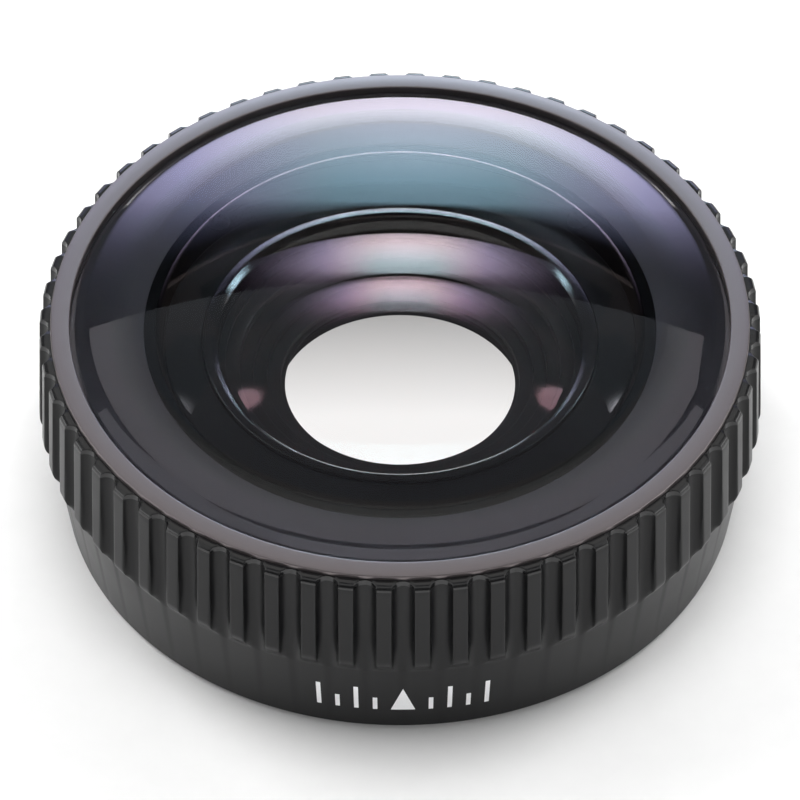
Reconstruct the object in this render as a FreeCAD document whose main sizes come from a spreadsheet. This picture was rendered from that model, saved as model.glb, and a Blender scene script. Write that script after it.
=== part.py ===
import FreeCAD, Part
import math
import os
import Sketcher

# Wide-angle conversion lens for an action camera, in millimetres.
# It stands on its rear rim: the origin is the centre of the rim's plane and +Z runs along
# the optical axis, out of the front glass. The marked side of the base faces -Y.

V = FreeCAD.Vector

# Driving sizes, each with its own name
SIZES = {
    # Ribbed grip and its smooth base
    "rib_crest_radius": 22.0,
    "rib_draft": 0.12,
    "rib_count": 60,
    "rib_flute_radius": 0.68,
    "rib_flute_depth": 0.72,
    "band_bottom": 7.15,
    "band_runout": 0.95,
    "band_blend": 1.2,
    "shoulder_chamfer": 0.36,
    "base_top_inset": 0.65,
    "base_taper": 0.9,
    "base_chamfer": 0.3,
    "body_rim_width": 1.55,
    "shelf_width": 1.7,
    "shelf_thickness": 1.0,
    # Bezel ring
    "bezel_inset": 0.8,
    "bezel_flange_width": 0.5,
    "bezel_skirt_thickness": 0.4,
    "bezel_skirt_length": 1.0,
    "bezel_lip_reach": 0.28,
    "bezel_lip_thickness": 0.6,
    "bezel_rise": 0.4,
    "bezel_edge_break": 0.08,
    "bezel_clearance": 0.05,
    "bezel_floor_gap": 0.1,
    # Front glass, the mask behind it and its gasket
    "glass_clearance": 0.1,
    "glass_land_width": 0.47,
    "glass_bevel_width": 0.56,
    "glass_bevel_height": 0.36,
    "glass_face_curve": 80.0,
    "glass_proud": 0.17,
    "glass_seat_depth": 2.5,
    "glass_back_width": 5.7,
    "glass_hollow_curve": 40.5,
    "mask_width": 5.0,
    "mask_thickness": 0.2,
    "gasket_inset": 0.2,
    "gasket_thickness": 0.3,
    # Inner housing, from its web's rear face up
    "socket_depth": 3.0,
    "housing_clearance": 0.1,
    "housing_web_thickness": 1.6,
    "housing_tube_wall": 1.5,
    "housing_flange_thickness": 2.1,
    "housing_rim_width": 1.8,
    "housing_recess_depth": 0.8,
    "pilot_step": 0.1,
    "pilot_length": 1.4,
    "light_lip_reach": 0.8,
    "light_lip_thickness": 0.8,
    # Square-section seal rings and their grooves
    "seal_section": 0.8,
    "seal_groove_depth": 0.85,
    "seal_clearance": 0.05,
    "housing_seal_drop": 1.05,
    "barrel_seal_rise": 0.7,
    # Lens barrel, from its flange inwards
    "barrel_flange_clearance": 0.2,
    "barrel_flange_width": 2.6,
    "barrel_flange_thickness": 0.8,
    "barrel_head_step": 1.2,
    "barrel_head_height": 0.7,
    "barrel_head_chamfer": 0.15,
    "barrel_clearance": 0.1,
    "barrel_wall": 0.95,
    "barrel_shim_thickness": 0.15,
    "barrel_rear_gap": 1.9,
    "barrel_nose_clearance": 0.2,
    "barrel_nose_wall": 3.7,
    "barrel_window_step": 0.9,
    "barrel_ledge_thickness": 0.3,
    # Aperture mask, stepped baffle, middle lens and its retainer
    "stack_clearance": 0.1,
    "aperture_reach": 0.45,
    "aperture_thickness": 0.1,
    "baffle_height": 2.15,
    "baffle_rim_width": 1.35,
    "baffle_throat_step": 0.25,
    "baffle_steps": 5,
    "middle_edge_thickness": 1.2,
    "middle_front_rim": 0.85,
    "middle_front_curve": 24.0,
    "middle_rear_rim": 1.65,
    "middle_rear_curve": 26.0,
    "retainer_width": 0.8,
    "retainer_height": 1.15,
    "retainer_chamfer": 0.3,
    "retainer_proud": 0.25,
    # Rear lens and its retainer
    "rear_lens_clearance": 0.1,
    "rear_lens_edge": 0.9,
    "rear_lens_rim": 0.8,
    "rear_lens_curve": 55.0,
    "rear_retainer_width": 0.75,
    "rear_retainer_thickness": 0.65,
    "rear_retainer_clearance": 0.05,
    "rear_retainer_recess": 0.05,
    "spanner_slot_width": 0.9,
    "spanner_slot_depth": 0.35,
    # Bayonet, mount seal and stop pin
    "bayonet_clearance": 0.2,
    "bayonet_width": 3.1,
    "bayonet_thickness": 2.2,
    "bayonet_lug_reach": 1.4,
    "bayonet_lug_thickness": 1.0,
    "bayonet_lug_angle": 50.0,
    "bayonet_lug_count": 4,
    "mount_seal_inset": 0.2,
    "mount_seal_width": 1.1,
    "mount_seal_thickness": 0.4,
    "mount_seal_lip": 0.3,
    "stop_pin_radius": 0.4,
    "stop_pin_inset": 0.55,
    "stop_pin_angle": 30.0,
    "stop_pin_rise": 1.1,
    "stop_pin_depth": 1.2,
    "pin_clearance": 0.02,
    # Screws
    "mount_screw_count": 4,
    "mount_screw_head_radius": 1.1,
    "mount_screw_head_height": 0.5,
    "mount_screw_radius": 0.55,
    "mount_screw_length": 3.4,
    "barrel_screw_inset": 0.75,
    "barrel_screw_angle": 45.0,
    "barrel_screw_count": 4,
    "barrel_screw_head_radius": 0.7,
    "barrel_screw_head_height": 0.5,
    "barrel_screw_radius": 0.4,
    "barrel_screw_length": 1.9,
    "screw_clearance": 0.06,
    "screw_end_clearance": 0.1,
    "screw_socket_share": 0.5,
    "screw_socket_depth": 0.35,
}

doc = FreeCAD.newDocument("wide_angle_lens")
sheet = doc.addObject("Spreadsheet::Sheet", "sheet")
for row, (alias, value) in enumerate(SIZES.items(), start=1):
    sheet.set("A%d" % row, alias)
    sheet.set("B%d" % row, str(value))
    sheet.setAlias("B%d" % row, alias)
doc.recompute()


def size(alias):
    return "sheet." + alias


def add(*terms):
    return "(" + " + ".join(terms) + ")"


def less(*terms):
    return "(" + " - ".join(terms) + ")"


def sag(curve, radius):
    """How far a sphere of this curve falls from its apex to this radius."""
    return "(%s - sqrt(%s^2 - %s^2))" % (curve, curve, radius)


def number(expression):
    return float(sheet.evalExpression(expression))


# Heights above the rear rim, each from the one below it
WEB_BOTTOM = size("socket_depth")
BAYONET_BOTTOM = less(WEB_BOTTOM, size("bayonet_thickness"))
LUG_TOP = add(BAYONET_BOTTOM, size("bayonet_lug_thickness"))
WEB_TOP = add(WEB_BOTTOM, size("housing_web_thickness"))
PILOT_TOP = add(WEB_BOTTOM, size("pilot_length"))
LIP_TOP = add(PILOT_TOP, size("light_lip_thickness"))
BARREL_SHOULDER = add(LIP_TOP, size("barrel_shim_thickness"))
BARREL_SEAL_HEIGHT = add(BARREL_SHOULDER, size("barrel_seal_rise"))
BARREL_BOTTOM = add(WEB_BOTTOM, size("barrel_rear_gap"))
REAR_RETAINER_BACK = add(BARREL_BOTTOM, size("rear_retainer_recess"))
REAR_LENS_BACK = add(REAR_RETAINER_BACK, size("rear_retainer_thickness"))
LEDGE_BOTTOM = add(REAR_LENS_BACK, size("rear_lens_edge"))
LEDGE_TOP = add(LEDGE_BOTTOM, size("barrel_ledge_thickness"))
BAFFLE_BOTTOM = add(LEDGE_TOP, size("aperture_thickness"))
BAFFLE_TOP = add(BAFFLE_BOTTOM, size("baffle_height"))
MIDDLE_TOP = add(BAFFLE_TOP, size("middle_edge_thickness"))
RETAINER_TOP = add(MIDDLE_TOP, size("retainer_height"))
HEAD_TOP = less(RETAINER_TOP, size("retainer_proud"))
FLANGE_TOP = less(HEAD_TOP, size("barrel_head_height"))
FLANGE_BOTTOM = less(FLANGE_TOP, size("barrel_flange_thickness"))
RECESS_FLOOR = less(FLANGE_BOTTOM, size("barrel_shim_thickness"))
SHELF_BOTTOM = add(RECESS_FLOOR, size("housing_recess_depth"))
HOUSING_FLANGE_BOTTOM = less(SHELF_BOTTOM, size("housing_flange_thickness"))
HOUSING_SEAL_HEIGHT = less(SHELF_BOTTOM, size("housing_seal_drop"))
SHELF_TOP = add(SHELF_BOTTOM, size("shelf_thickness"))
MASK_BACK = add(SHELF_TOP, size("gasket_thickness"))
GLASS_BACK = add(MASK_BACK, size("mask_thickness"))
BEZEL_TOP = add(GLASS_BACK, size("glass_seat_depth"))
GLASS_FACE = add(BEZEL_TOP, size("glass_proud"))
GLASS_STEP = less(BEZEL_TOP, size("bezel_lip_thickness"))
SKIRT_BOTTOM = less(GLASS_STEP, size("bezel_skirt_length"))
BODY_TOP = less(BEZEL_TOP, size("bezel_rise"))

# Radii of the body, bezel and front glass, each from the one outside it
BASE_TOP_RADIUS = less(size("rib_crest_radius"), size("base_top_inset"))
BASE_BOTTOM_RADIUS = less(BASE_TOP_RADIUS, size("base_taper"))
BODY_BORE = less(BASE_BOTTOM_RADIUS, size("body_rim_width"))
SHELF_RADIUS = less(BODY_BORE, size("shelf_width"))
GASKET_RADIUS = add(SHELF_RADIUS, size("gasket_inset"))
BEZEL_RADIUS = less(size("rib_crest_radius"), size("bezel_inset"))
SKIRT_RADIUS = less(BEZEL_RADIUS, size("bezel_flange_width"))
SKIRT_BORE = add(SKIRT_RADIUS, size("bezel_clearance"))
CELL_RADIUS = less(SKIRT_RADIUS, size("bezel_skirt_thickness"))
BEZEL_INNER_RADIUS = less(CELL_RADIUS, size("bezel_lip_reach"))
GLASS_RADIUS = less(CELL_RADIUS, size("glass_clearance"))
LAND_RADIUS = less(GLASS_RADIUS, size("glass_land_width"))
FACE_RADIUS = less(LAND_RADIUS, size("glass_bevel_width"))
HOLLOW_RADIUS = less(GLASS_RADIUS, size("glass_back_width"))
MASK_RADIUS = less(GLASS_RADIUS, size("mask_width"))

# Radii of the housing and barrel
HOUSING_RADIUS = less(BODY_BORE, size("housing_clearance"))
RECESS_RADIUS = less(HOUSING_RADIUS, size("housing_rim_width"))
FLANGE_RADIUS = less(RECESS_RADIUS, size("barrel_flange_clearance"))
BARREL_SCREW_CIRCLE = less(FLANGE_RADIUS, size("barrel_screw_inset"))
BARREL_SCREW_X = "(%s * cos(%s))" % (BARREL_SCREW_CIRCLE, size("barrel_screw_angle"))
BARREL_SCREW_Y = "(%s * sin(%s))" % (BARREL_SCREW_CIRCLE, size("barrel_screw_angle"))
HEAD_RADIUS = less(FLANGE_RADIUS, size("barrel_flange_width"))
BARREL_RADIUS = less(HEAD_RADIUS, size("barrel_head_step"))
BARREL_BORE = add(BARREL_RADIUS, size("barrel_clearance"))
TUBE_RADIUS = add(BARREL_BORE, size("housing_tube_wall"))
PILOT_RADIUS = add(BARREL_BORE, size("pilot_step"))
LIP_RADIUS = less(PILOT_RADIUS, size("light_lip_reach"))
NOSE_RADIUS = less(LIP_RADIUS, size("barrel_nose_clearance"))
LENS_BORE = less(BARREL_RADIUS, size("barrel_wall"))
REAR_BORE = less(NOSE_RADIUS, size("barrel_nose_wall"))
WINDOW_RADIUS = less(REAR_BORE, size("barrel_window_step"))

# Radii of what the barrel carries
STACK_RADIUS = less(LENS_BORE, size("stack_clearance"))
MIDDLE_FRONT_RADIUS = less(STACK_RADIUS, size("middle_front_rim"))
MIDDLE_REAR_RADIUS = less(STACK_RADIUS, size("middle_rear_rim"))
RETAINER_RADIUS = less(STACK_RADIUS, size("retainer_width"))
APERTURE_RADIUS = less(WINDOW_RADIUS, size("aperture_reach"))
BAFFLE_MOUTH = less(STACK_RADIUS, size("baffle_rim_width"))
BAFFLE_THROAT = add(APERTURE_RADIUS, size("baffle_throat_step"))
REAR_LENS_RADIUS = less(REAR_BORE, size("rear_lens_clearance"))
REAR_FACE_RADIUS = less(REAR_LENS_RADIUS, size("rear_lens_rim"))
REAR_RETAINER_RADIUS = less(REAR_BORE, size("rear_retainer_clearance"))
REAR_RETAINER_INNER = less(REAR_RETAINER_RADIUS, size("rear_retainer_width"))

# Radii and places in the mount
BAYONET_RADIUS = less(BODY_BORE, size("bayonet_clearance"))
BAYONET_INNER = less(BAYONET_RADIUS, size("bayonet_width"))
LUG_RADIUS = less(BAYONET_INNER, size("bayonet_lug_reach"))
MOUNT_SCREW_CIRCLE = "(%s / 2)" % add(BAYONET_RADIUS, BAYONET_INNER)
MOUNT_SEAL_INNER = add(PILOT_RADIUS, size("mount_seal_inset"))
MOUNT_SEAL_OUTER = add(MOUNT_SEAL_INNER, size("mount_seal_width"))
STOP_PIN_CIRCLE = less(BAYONET_INNER, size("stop_pin_inset"))
STOP_PIN_X = "(%s * cos(%s))" % (STOP_PIN_CIRCLE, size("stop_pin_angle"))
STOP_PIN_Y = "(%s * sin(%s))" % (STOP_PIN_CIRCLE, size("stop_pin_angle"))
SEAL_HALF = "(%s / 2)" % size("seal_section")
SEAL_GROOVE_HALF = add(SEAL_HALF, size("seal_clearance"))


def origin_feature(body, role):
    return next(item for item in body.Origin.OriginFeatures if item.Role == role)


def new_body(label):
    body = doc.addObject("PartDesign::Body", label)
    body.Label = label
    return body


def new_sketch(body, name, role, level=None):
    """A sketch on one of the body's own planes, lifted to a level along its normal."""
    sketch = body.newObject("Sketcher::SketchObject", body.Label + "_" + name)
    sketch.AttachmentSupport = [(origin_feature(body, role), "")]
    sketch.MapMode = "FlatFace"
    if level:
        sketch.setExpression(".AttachmentOffset.Base.z", level)
    return sketch


def bind(sketch, constraint, name, expression):
    index = sketch.addConstraint(constraint)
    sketch.renameConstraint(index, name)
    sketch.setExpression("Constraints." + name, expression)


def place_vertex(sketch, edge, end, x, y):
    """Hold a vertex by its distances from the origin, or on an axis where one is 0."""
    for kind, axis, expression in (("DistanceX", -2, x), ("DistanceY", -1, y)):
        if expression == "0":
            sketch.addConstraint(Sketcher.Constraint("PointOnObject", edge, end, axis))
            continue
        held = Sketcher.Constraint(kind, -1, 1, edge, end, number(expression))
        bind(sketch, held, "%s_%d" % (kind, edge), expression)


def arc(start, end, radius, side):
    """The short arc from start to end, with its centre to the left or right of the run."""
    run = end - start
    offset = math.sqrt(radius ** 2 - (run.Length / 2) ** 2)
    normal = V(-run.y, run.x, 0).normalize() * (1 if side == "left" else -1)
    centre = (start + end) / 2 + normal * offset
    first, last = (start, end) if side == "left" else (end, start)
    angles = [math.atan2(p.y - centre.y, p.x - centre.x) for p in (first, last)]
    return Part.ArcOfCircle(Part.Circle(centre, V(0, 0, 1), radius), *angles)


def outline(sketch, points):
    """A closed outline. (x, y) leaves on a line, (x, y, radius, side) leaves on an arc."""
    corners = [V(number(point[0]), number(point[1]), 0) for point in points]
    ends = []
    for index, point in enumerate(points):
        start = corners[index]
        end = corners[(index + 1) % len(points)]
        if len(point) == 2:
            sketch.addGeometry(Part.LineSegment(start, end), False)
            ends.append((1, 2))
        else:
            sketch.addGeometry(arc(start, end, number(point[2]), point[3]), False)
            ends.append((1, 2) if point[3] == "left" else (2, 1))
    for index, point in enumerate(points):
        after = (index + 1) % len(points)
        sketch.addConstraint(
            Sketcher.Constraint("Coincident", index, ends[index][1], after, ends[after][0])
        )
        place_vertex(sketch, index, ends[index][0], point[0], point[1])
        if len(point) > 2:
            held = Sketcher.Constraint("Radius", index, number(point[2]))
            bind(sketch, held, "radius_%d" % index, point[2])


def revolve(body, name, points):
    sketch = new_sketch(body, name + "_outline", "XZ_Plane")
    outline(sketch, points)
    feature = body.newObject("PartDesign::Revolution", body.Label + "_" + name)
    feature.Profile = (sketch, [""])
    feature.ReferenceAxis = (sketch, ["V_Axis"])
    feature.Angle = 360
    doc.recompute()
    return feature


def confirm_cut(feature, volume):
    if not feature.Shape.Volume < volume - 1e-4:
        raise RuntimeError(feature.Label + " removes nothing")


def revolved_cut(body, name, points, centre_line=None):
    """A groove turned about the body's axis, or about a line parallel to it."""
    volume = body.Tip.Shape.Volume
    sketch = new_sketch(body, name + "_outline", "XZ_Plane")
    outline(sketch, points)
    axis = "V_Axis"
    if centre_line:
        low, high = points[0][1], points[-1][1]
        edge = sketch.addGeometry(
            Part.LineSegment(
                V(number(centre_line), number(low), 0), V(number(centre_line), number(high), 0)
            ),
            True,
        )
        sketch.addConstraint(Sketcher.Constraint("Coincident", edge, 1, 0, 1))
        sketch.addConstraint(Sketcher.Constraint("Coincident", edge, 2, len(points) - 1, 1))
        axis = "Axis0"
    feature = body.newObject("PartDesign::Groove", body.Label + "_" + name)
    feature.Profile = (sketch, [""])
    feature.ReferenceAxis = (sketch, [axis])
    feature.Angle = 360
    doc.recompute()
    confirm_cut(feature, volume)
    return feature


def pocket(body, sketch, name, depth, upward):
    volume = body.Tip.Shape.Volume
    feature = body.newObject("PartDesign::Pocket", body.Label + "_" + name)
    feature.Profile = (sketch, [""])
    feature.setExpression("Length", depth)
    feature.Reversed = upward
    doc.recompute()
    confirm_cut(feature, volume)
    return feature


def drilled_hole(body, name, x, y, radius, level, depth, upward):
    sketch = new_sketch(body, name + "_circle", "XY_Plane", level)
    sketch.addGeometry(
        Part.Circle(V(number(x), number(y), 0), V(0, 0, 1), number(radius)), False
    )
    place_vertex(sketch, 0, 3, x, y)
    bind(sketch, Sketcher.Constraint("Radius", 0, number(radius)), "radius", radius)
    return pocket(body, sketch, name, depth, upward)


def repeat_around(body, feature, count):
    volume = body.Tip.Shape.Volume
    pattern = body.newObject("PartDesign::PolarPattern", feature.Label + "_pattern")
    pattern.Originals = [feature]
    pattern.Axis = (origin_feature(body, "Z_Axis"), [""])
    pattern.Angle = 360
    pattern.setExpression("Occurrences", count)
    body.Tip = pattern
    doc.recompute()
    confirm_cut(pattern, volume)
    return pattern


def ring(label, inner, outer, bottom, top):
    """A plain flat ring, turned about the axis."""
    body = new_body(label)
    revolve(body, "ring", [(inner, bottom), (outer, bottom), (outer, top), (inner, top)])
    return body


def grip_body():
    """The outer barrel: a smooth tapered base that swells into a band of round flutes."""
    body = new_body("grip_body")
    crest = size("rib_crest_radius")
    crest_top = less(crest, size("rib_draft"))
    chamfer = size("shoulder_chamfer")
    base_chamfer = size("base_chamfer")
    bore = BODY_BORE
    shelf = SHELF_RADIUS
    band_foot = less(size("band_bottom"), size("band_runout"))
    pocket_floor = less(SKIRT_BOTTOM, size("bezel_floor_gap"))
    turned = revolve(body, "turned", [
        (bore, "0"),
        (less(BASE_BOTTOM_RADIUS, base_chamfer), "0"),
        (BASE_BOTTOM_RADIUS, base_chamfer),
        (BASE_TOP_RADIUS, band_foot),
        (crest, size("band_bottom")),
        (crest_top, less(BODY_TOP, chamfer)),
        (less(crest_top, chamfer), BODY_TOP),
        (SKIRT_BORE, BODY_TOP),
        (SKIRT_BORE, pocket_floor),
        (CELL_RADIUS, pocket_floor),
        (CELL_RADIUS, SHELF_TOP),
        (shelf, SHELF_TOP),
        (shelf, SHELF_BOTTOM),
        (bore, SHELF_BOTTOM),
    ])

    # Soft S where the base swells into the band
    swell = []
    for radius, height in ((BASE_TOP_RADIUS, band_foot), (crest, size("band_bottom"))):
        for index, edge in enumerate(turned.Shape.Edges, start=1):
            box = edge.BoundBox
            level = abs(box.ZMin - number(height)) < 0.001 and box.ZLength < 0.001
            if level and abs(box.XMax - number(radius)) < 0.001:
                swell.append("Edge%d" % index)
    blend = body.newObject("PartDesign::Fillet", "grip_body_blend")
    blend.Base = (turned, swell)
    blend.setExpression("Radius", size("band_blend"))
    body.Tip = blend
    doc.recompute()

    # One round flute, cut straight down until it runs out on the taper, then all of them
    flute_centre = add(less(crest, size("rib_flute_depth")), size("rib_flute_radius"))
    flute = drilled_hole(
        body, "flute", flute_centre, "0", size("rib_flute_radius"), "0.01", BODY_TOP, True
    )
    repeat_around(body, flute, size("rib_count"))
    return body


def bezel_ring():
    """The ring round the front glass: a lip that holds the glass and a skirt in the body."""
    body = new_body("bezel_ring")
    inner = BEZEL_INNER_RADIUS
    outer = BEZEL_RADIUS
    edge = size("bezel_edge_break")
    revolve(body, "turned", [
        (inner, GLASS_STEP),
        (CELL_RADIUS, GLASS_STEP),
        (CELL_RADIUS, SKIRT_BOTTOM),
        (SKIRT_RADIUS, SKIRT_BOTTOM),
        (SKIRT_RADIUS, BODY_TOP),
        (outer, BODY_TOP),
        (outer, less(BEZEL_TOP, edge)),
        (less(outer, edge), BEZEL_TOP),
        (add(inner, edge), BEZEL_TOP),
        (inner, less(BEZEL_TOP, edge)),
    ])
    return body


def front_lens():
    """The large front element: domed face, bevelled step for the bezel, hollow back."""
    body = new_body("front_lens")
    face = FACE_RADIUS
    land = LAND_RADIUS
    rim = GLASS_RADIUS
    hollow = HOLLOW_RADIUS
    revolve(body, "ground", [
        ("0", add(GLASS_BACK, sag(size("glass_hollow_curve"), hollow)),
         size("glass_hollow_curve"), "right"),
        (hollow, GLASS_BACK),
        (rim, GLASS_BACK),
        (rim, GLASS_STEP),
        (land, GLASS_STEP),
        (land, less(GLASS_FACE, size("glass_bevel_height"))),
        (face, GLASS_FACE, size("glass_face_curve"), "left"),
        ("0", add(GLASS_FACE, sag(size("glass_face_curve"), face))),
    ])
    return body


def seal_groove(body, name, radius, height):
    """A groove for a seal ring, in an outer wall of this radius."""
    floor = less(radius, size("seal_groove_depth"))
    low = less(height, SEAL_GROOVE_HALF)
    high = add(height, SEAL_GROOVE_HALF)
    mouth = add(radius, size("seal_clearance"))
    return revolved_cut(body, name, [(floor, low), (mouth, low), (mouth, high), (floor, high)])


def seal_ring(label, wall_radius, height):
    """A square-section seal ring round its groove's floor."""
    inner = add(less(wall_radius, size("seal_groove_depth")), size("seal_clearance"))
    outer = add(inner, size("seal_section"))
    return ring(label, inner, outer, less(height, SEAL_HALF), add(height, SEAL_HALF))


def inner_housing():
    """The carrier inside the body: a web for the mount, a tube and a flange."""
    body = new_body("inner_housing")
    pilot = PILOT_RADIUS
    lip = LIP_RADIUS
    tube = TUBE_RADIUS
    recess = RECESS_RADIUS
    revolve(body, "turned", [
        (pilot, WEB_BOTTOM),
        (HOUSING_RADIUS, WEB_BOTTOM),
        (HOUSING_RADIUS, WEB_TOP),
        (tube, WEB_TOP),
        (tube, HOUSING_FLANGE_BOTTOM),
        (HOUSING_RADIUS, HOUSING_FLANGE_BOTTOM),
        (HOUSING_RADIUS, SHELF_BOTTOM),
        (recess, SHELF_BOTTOM),
        (recess, RECESS_FLOOR),
        (BARREL_BORE, RECESS_FLOOR),
        (BARREL_BORE, LIP_TOP),
        (lip, LIP_TOP),
        (lip, PILOT_TOP),
        (pilot, PILOT_TOP),
    ])
    seal_groove(body, "seal_groove", HOUSING_RADIUS, HOUSING_SEAL_HEIGHT)
    mount_hole = drilled_hole(
        body, "mount_hole", MOUNT_SCREW_CIRCLE, "0",
        add(size("mount_screw_radius"), size("screw_clearance")), WEB_BOTTOM,
        add(less(size("mount_screw_length"), size("bayonet_thickness")),
            size("screw_end_clearance")), True,
    )
    repeat_around(body, mount_hole, size("mount_screw_count"))
    barrel_hole = drilled_hole(
        body, "barrel_hole", BARREL_SCREW_X, BARREL_SCREW_Y,
        add(size("barrel_screw_radius"), size("screw_clearance")), RECESS_FLOOR,
        add(less(size("barrel_screw_length"), size("barrel_flange_thickness"),
                 size("barrel_shim_thickness")), size("screw_end_clearance")), False,
    )
    repeat_around(body, barrel_hole, size("barrel_screw_count"))
    drilled_hole(
        body, "pin_hole", STOP_PIN_X, STOP_PIN_Y,
        add(size("stop_pin_radius"), size("pin_clearance")), WEB_BOTTOM,
        size("stop_pin_depth"), True,
    )
    return body


def lens_barrel():
    """The barrel that carries the inner lenses, flanged on the housing's recess."""
    body = new_body("lens_barrel")
    outer = BARREL_RADIUS
    head = HEAD_RADIUS
    chamfer = size("barrel_head_chamfer")
    bore = LENS_BORE
    rear = REAR_BORE
    window = WINDOW_RADIUS
    revolve(body, "turned", [
        (rear, BARREL_BOTTOM),
        (NOSE_RADIUS, BARREL_BOTTOM),
        (NOSE_RADIUS, BARREL_SHOULDER),
        (outer, BARREL_SHOULDER),
        (outer, FLANGE_BOTTOM),
        (FLANGE_RADIUS, FLANGE_BOTTOM),
        (FLANGE_RADIUS, FLANGE_TOP),
        (head, FLANGE_TOP),
        (head, less(HEAD_TOP, chamfer)),
        (less(head, chamfer), HEAD_TOP),
        (bore, HEAD_TOP),
        (bore, LEDGE_TOP),
        (window, LEDGE_TOP),
        (window, LEDGE_BOTTOM),
        (rear, LEDGE_BOTTOM),
    ])
    seal_groove(body, "seal_groove", outer, BARREL_SEAL_HEIGHT)
    screw_hole = drilled_hole(
        body, "screw_hole", BARREL_SCREW_X, BARREL_SCREW_Y,
        add(size("barrel_screw_radius"), size("screw_clearance")), FLANGE_BOTTOM,
        size("barrel_flange_thickness"), True,
    )
    repeat_around(body, screw_hole, size("barrel_screw_count"))
    return body


def barrel_shim():
    body = ring(
        "barrel_shim", add(BARREL_BORE, size("barrel_clearance")),
        FLANGE_RADIUS, RECESS_FLOOR, FLANGE_BOTTOM,
    )
    screw_hole = drilled_hole(
        body, "screw_hole", BARREL_SCREW_X, BARREL_SCREW_Y,
        add(size("barrel_screw_radius"), size("screw_clearance")), RECESS_FLOOR,
        size("barrel_shim_thickness"), True,
    )
    repeat_around(body, screw_hole, size("barrel_screw_count"))
    return body


def middle_lens():
    """The strongly curved meniscus behind the front glass."""
    body = new_body("middle_lens")
    front = MIDDLE_FRONT_RADIUS
    rear = MIDDLE_REAR_RADIUS
    revolve(body, "ground", [
        ("0", add(BAFFLE_TOP, sag(size("middle_rear_curve"), rear)),
         size("middle_rear_curve"), "right"),
        (rear, BAFFLE_TOP),
        (STACK_RADIUS, BAFFLE_TOP),
        (STACK_RADIUS, MIDDLE_TOP),
        (front, MIDDLE_TOP, size("middle_front_curve"), "left"),
        ("0", add(MIDDLE_TOP, sag(size("middle_front_curve"), front))),
    ])
    return body


def middle_lens_retainer():
    body = new_body("middle_lens_retainer")
    inner = RETAINER_RADIUS
    chamfer = size("retainer_chamfer")
    revolve(body, "turned", [
        (inner, MIDDLE_TOP),
        (STACK_RADIUS, MIDDLE_TOP),
        (STACK_RADIUS, RETAINER_TOP),
        (add(inner, chamfer), RETAINER_TOP),
        (inner, less(RETAINER_TOP, chamfer)),
    ])
    return body


def stepped_baffle():
    """The light baffle: rings that step down and in to the throat."""
    body = new_body("stepped_baffle")
    steps = int(SIZES["baffle_steps"])
    mouth = BAFFLE_MOUTH
    throat = BAFFLE_THROAT
    tread = "(%s / %d)" % (less(mouth, throat), steps - 1)
    rise = "(%s / %d)" % (size("baffle_height"), steps)
    points = [
        (throat, BAFFLE_BOTTOM),
        (STACK_RADIUS, BAFFLE_BOTTOM),
        (STACK_RADIUS, BAFFLE_TOP),
    ]
    for step in range(steps):
        radius = less(mouth, "%d * %s" % (step, tread))
        points.append((radius, less(BAFFLE_TOP, "%d * %s" % (step, rise))))
        if step < steps - 1:
            points.append((radius, less(BAFFLE_TOP, "%d * %s" % (step + 1, rise))))
    revolve(body, "turned", points)
    return body


def rear_lens():
    body = new_body("rear_lens")
    face = REAR_FACE_RADIUS
    apex = less(REAR_LENS_BACK, sag(size("rear_lens_curve"), face))
    revolve(body, "ground", [
        ("0", apex, size("rear_lens_curve"), "left"),
        (face, REAR_LENS_BACK),
        (REAR_LENS_RADIUS, REAR_LENS_BACK),
        (REAR_LENS_RADIUS, LEDGE_BOTTOM),
        ("0", LEDGE_BOTTOM),
    ])
    return body


def rear_lens_retainer():
    """The ring behind the rear lens, with two slots for a spanner."""
    inner = REAR_RETAINER_INNER
    body = ring(
        "rear_lens_retainer", inner, REAR_RETAINER_RADIUS, REAR_RETAINER_BACK, REAR_LENS_BACK
    )
    sketch = new_sketch(body, "slot_outline", "XY_Plane", REAR_RETAINER_BACK)
    half = "(%s / 2)" % size("spanner_slot_width")
    near = less(inner, size("spanner_slot_depth"))
    far = add(REAR_RETAINER_RADIUS, size("spanner_slot_depth"))
    minus_half = "(-%s)" % half
    outline(sketch, [(near, minus_half), (far, minus_half), (far, half), (near, half)])
    slot = pocket(body, sketch, "slot", size("spanner_slot_depth"), True)
    repeat_around(body, slot, "2")
    return body


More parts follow.
